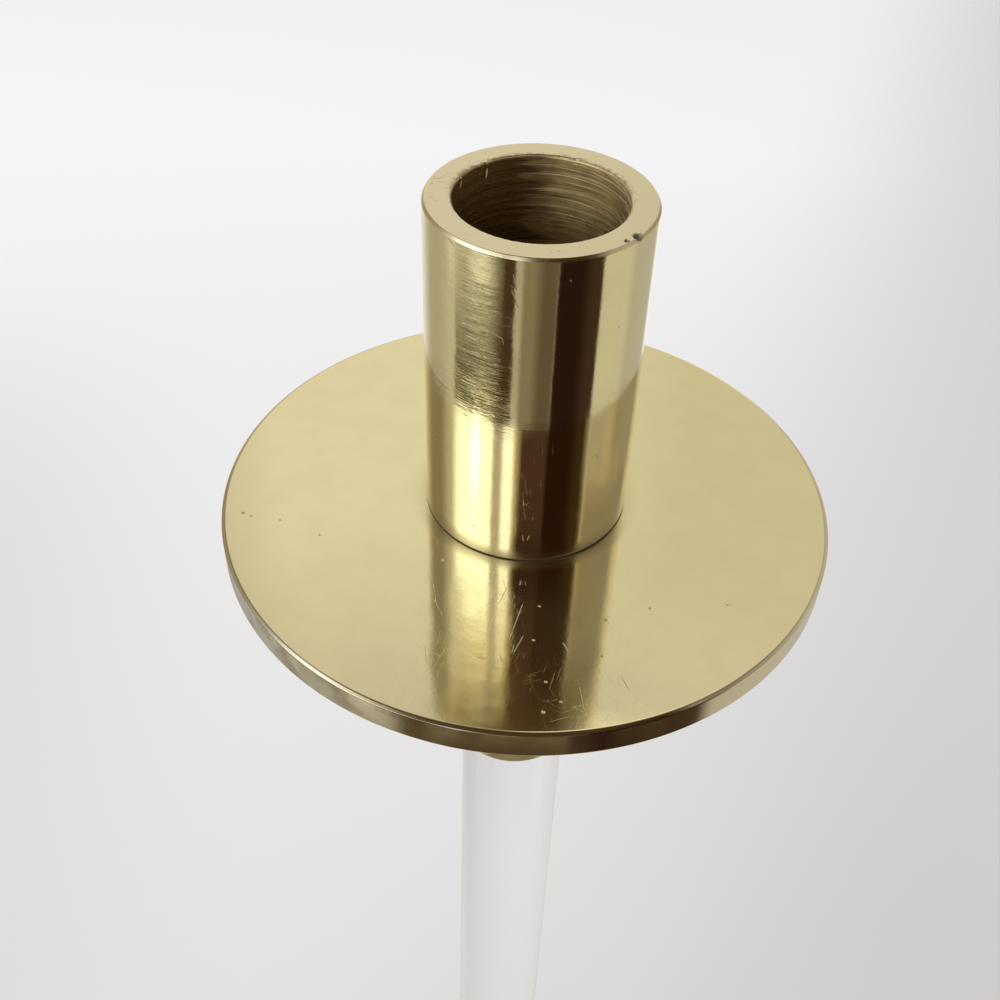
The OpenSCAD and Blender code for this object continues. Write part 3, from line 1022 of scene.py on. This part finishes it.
# Cards, each painted over those before it. The sides are in degrees from the front towards the right, and
# the ends are heights in millimetres: where a card starts, is full, begins to fade and stops
all_round = (-181, -180, 180, 181)
cards = [
    # Floor and ceiling
    (all_round, (-20, -10, 40, 130), (0.72, 0.69, 0.62)),
    ((-70, -40, 40, 70), (34, 46, 100, 140), (0.25, 0.235, 0.20)),
    (all_round, (560, 700, 990, 999), (0.64, 0.62, 0.62)),
    ((-150, -110, 110, 150), (690, 730, 990, 999), (0.36, 0.35, 0.38)),
    (all_round, (740, 830, 990, 999), (0.17, 0.16, 0.14)),
    # Light screen behind on the right
    ((150, 157, 168, 178), (160, 200, 430, 460), (1.02, 1.00, 0.94)),
    ((140, 146, 165, 180), (440, 470, 600, 680), (0.67, 0.65, 0.60)),
    # Grey screen on the left, lighter at its front end
    ((-152, -128, -86, -85), (20, 60, 430, 460), (0.45, 0.42, 0.37)),
    ((-156, -130, -98, -88), (430, 460, 680, 730), (0.29, 0.27, 0.29)),
    ((-110, -92, -86, -85), (130, 160, 430, 460), (0.55, 0.53, 0.49)),
    ((-97, -90, -86, -85), (225, 242, 430, 460), (0.74, 0.73, 0.70)),
    ((-108, -92, -84, -78), (435, 470, 620, 680), (0.57, 0.61, 0.82)),
    ((-158, -150, -86, -85), (56, 62, 125, 145), (0.44, 0.43, 0.47)),
    # Low card on the left: a grey foot, a lit top and a dark middle
    ((-85.5, -84.5, -40, -36), (56, 62, 125, 145), (0.36, 0.35, 0.36)),
    ((-90, -80, -72, -60), (56, 62, 84, 94), (0.46, 0.46, 0.56)),
    ((-62, -50, -42, -36), (56, 62, 84, 94), (0.27, 0.25, 0.24)),
    ((-64, -52, -43, -39), (88, 96, 125, 145), (0.82, 0.80, 0.93)),
    ((-85.5, -84.5, -30, -28), (140, 150, 445, 470), (0.585, 0.575, 0.505)),
    ((-70, -58, -50, -36), (222, 240, 290, 330), (0.97, 0.98, 0.94)),
    ((-85.5, -84.5, -30, -28), (125, 140, 188, 240), (0.11, 0.09, 0.055)),
    ((-85.5, -84.5, -30, -28), (262, 290, 440, 450), (0.15, 0.12, 0.08)),
    # Bright card with its hottest part, a grey strip and a narrow bright card
    ((-90, -77, -39.5, -35), (445, 470, 588, 634), (1.75, 2.05, 3.10)),
    ((-64, -60, -54, -50), (450, 470, 520, 550), (3.40, 3.60, 5.40)),
    ((-95, -88, -78, -60), (580, 604, 640, 660), (0.75, 0.80, 1.10)),
    ((-38, -35, -29, -25), (445, 465, 620, 680), (0.55, 0.57, 0.90)),
    ((-28, -24, -16.5, -12), (445, 465, 555, 655), (1.55, 1.82, 3.10)),
    # Dark screen in front, with two grey strips
    ((-46, -29, -20, -19), (56, 62, 440, 465), (0.064, 0.038, 0.021)),
    ((-42, -37, -30, -27), (56, 62, 110, 125), (0.095, 0.068, 0.046)),
    ((-32, -27, -18, -12), (56, 62, 100, 115), (0.17, 0.145, 0.11)),
    ((-20, -19, 19.5, 20.5), (56, 62, 440, 465), (0.130, 0.098, 0.072)),
    ((-20, -19, -14, -8), (120, 160, 440, 465), (0.47, 0.43, 0.40)),
    ((-14, -8, -2, 7), (90, 140, 440, 465), (0.25, 0.21, 0.165)),
    ((-15, -6, 22, 26), (440, 465, 690, 715), (0.075, 0.045, 0.055)),
    ((-16, -8, 22, 26), (550, 570, 580, 604), (0.035, 0.020, 0.022)),
    # Dark flag
    ((19.5, 20.5, 64.5, 65.5), (56, 62, 690, 715), (0.022, 0.010, 0.008)),
    ((44, 54, 64.5, 65.5), (56, 62, 690, 715), (0.05, 0.03, 0.02)),
    ((16, 24, 50, 58), (578, 602, 690, 715), (0.045, 0.030, 0.032)),
    ((19.5, 20.5, 25, 32), (56, 62, 84, 94), (0.065, 0.042, 0.032)),
    ((31, 39, 50, 58), (84, 94, 122, 140), (0.085, 0.06, 0.04)),
    # Pale card on the right
    ((64.5, 66, 90, 104), (40, 130, 440, 460), (0.61, 0.60, 0.55)),
    ((88, 106, 145, 156), (20, 100, 440, 460), (0.49, 0.48, 0.46)),
    ((66, 74, 150, 158), (56, 62, 125, 145), (0.50, 0.485, 0.48)),
    ((60, 62, 69, 75), (56, 62, 100, 135), (0.05, 0.035, 0.022)),
    ((59, 68, 86, 104), (440, 460, 520, 535), (0.48, 0.49, 0.66)),
    ((86, 104, 141, 149), (440, 460, 520, 535), (0.37, 0.36, 0.44)),
    ((60, 70, 122, 146), (520, 535, 660, 710), (0.31, 0.30, 0.36)),
    ((118, 124, 134, 147), (518, 530, 556, 572), (0.31, 0.30, 0.36)),
    ((60, 70, 104, 124), (635, 655, 705, 735), (0.22, 0.21, 0.24)),
    # Dark card overhead, and a lit edge behind it on the right
    ((-100, -66, 62, 92), (645, 690, 990, 999), (0.085, 0.060, 0.042)),
    ((100, 140, 179, 180), (700, 725, 810, 830), (1.00, 0.95, 0.86))]


def ramp(value, start, full):
    """0 before the start, 1 once full, and a straight rise between."""
    return min(1, max(0, (value - start) / (full - start)))


def card_tone_at(degrees, height):
    """The tone of the dome at a direction in degrees and a height in millimetres."""
    tone = screen_tone
    for sides, ends, paint in cards:
        cover = 1
        for value, (start, full, fade, stop) in ((degrees, sides), (height, ends)):
            cover *= ramp(value, start, full) * (1 - ramp(value, fade, stop))
        if cover:
            tone = [under + (over - under) * cover for under, over in zip(tone, paint)]
    return (*tone, 1)


dome_rows = [dome_section[0]]
for (radius, height), (next_radius, next_height) in zip(dome_section, dome_section[1:]):
    steps = math.ceil((next_height - height) / dome_step)
    for step in range(1, steps + 1):
        share = step / steps
        dome_rows.append((radius + (next_radius - radius) * share, height + (next_height - height) * share))
dome_points = []
dome_tones = []
dome_faces = []
for radius, height in dome_rows:
    for step in range(dome_turns):
        degrees = 360 * step / dome_turns - 180
        turn = math.radians(degrees)
        dome_points.append((radius * mm * math.sin(turn), -radius * mm * math.cos(turn), height * mm))
        dome_tones.append(card_tone_at(degrees, height))
for row in range(len(dome_rows) - 1):
    for step in range(dome_turns):
        low = row * dome_turns
        beside = (step + 1) % dome_turns
        dome_faces.append((low + step, low + beside, low + dome_turns + beside, low + dome_turns + step))
dome_mesh = bpy.data.meshes.new("card_dome")
dome_mesh.from_pydata(dome_points, [], dome_faces)
paint = dome_mesh.color_attributes.new("tone", "FLOAT_COLOR", "POINT")
for point, tone in enumerate(dome_tones):
    paint.data[point].color = tone
dome = bpy.data.objects.new("card_dome", dome_mesh)
bpy.context.collection.objects.link(dome)
card_glow = bpy.data.materials.new("card_glow")
card_glow.use_nodes = True
glow_tree = card_glow.node_tree
glow_tree.nodes.clear()
glow_tone = add(glow_tree, "Attribute", attribute_name="tone").outputs["Color"]
glow_light = add(glow_tree, "Emission", {"Color": glow_tone}).outputs[0]
add(glow_tree, "OutputMaterial", {"Surface": glow_light})
dome_mesh.materials.append(card_glow)
dome.visible_camera = False
dome.visible_diffuse = False
dome.visible_transmission = False
dome.visible_volume_scatter = False
dome.visible_shadow = False


# Light. An even white room, and one large soft lamp high on the left that gives the shadow.
room_tone = (0.92, 0.92, 0.93, 1)
room_light = 0.93
room_seen = 0.95
lamp_place = Vector((-0.9, -0.5, 1.5))
lamp_size = 0.9
lamp_watts = 7

world = bpy.data.worlds.new("white_room")
bpy.context.scene.world = world
world.use_nodes = True
world_tree = world.node_tree
world_tree.nodes.clear()
path = add(world_tree, "LightPath").outputs
seen = sums(world_tree, "MAXIMUM", path["Is Camera Ray"],
    sums(world_tree, "MAXIMUM", path["Is Glossy Ray"], path["Is Transmission Ray"]))
strength = spread(world_tree, seen, 0, 1, room_light, room_seen)
room = add(world_tree, "Background", {"Color": room_tone, "Strength": strength}).outputs[0]
add(world_tree, "OutputWorld", {"Surface": room})
lamp = bpy.data.lights.new("soft_lamp", "AREA")
lamp.shape = "DISK"
lamp.size = lamp_size
lamp.energy = lamp_watts
lamp_object = bpy.data.objects.new("soft_lamp", lamp)
lamp_object.location = lamp_place
lamp_object.rotation_euler = (-lamp_place).to_track_quat("-Z", "Y").to_euler()
lamp_object.visible_glossy = False
bpy.context.collection.objects.link(lamp_object)


# Camera. Close over the drip plate, looking down on the cup and slightly rolled.
lens = 42.84
camera_distance = 181.35 * mm
camera_elevation = math.radians(41.81)
camera_roll = math.radians(-3.145)
camera_pan = math.radians(1.197)
camera_tilt = math.radians(-0.504)
clip_near = 1 * mm
clip_far = 20

plate_top = Vector((0, 0, plate_high.z))
camera_place = plate_top + camera_distance * Vector((
    0, -math.cos(camera_elevation), math.sin(camera_elevation)))
forward = (plate_top - camera_place).normalized()
sideways = Vector((1, 0, 0))
level = Matrix((sideways, sideways.cross(forward), forward))
pan = Matrix.Rotation(camera_pan, 3, "Y")
tilt = Matrix.Rotation(camera_tilt, 3, "X")
roll = Matrix.Rotation(camera_roll, 3, "Z")
across, up, away = roll @ tilt @ pan @ level
camera_data = bpy.data.cameras.new("camera")
camera_data.lens = lens
camera_data.clip_start = clip_near
camera_data.clip_end = clip_far
camera = bpy.data.objects.new("camera", camera_data)
camera.matrix_world = Matrix.LocRotScale(camera_place, Matrix((across, up, -away)).transposed(), None)
bpy.context.collection.objects.link(camera)
bpy.context.scene.camera = camera
bpy.context.scene.view_settings.view_transform = "Standard"
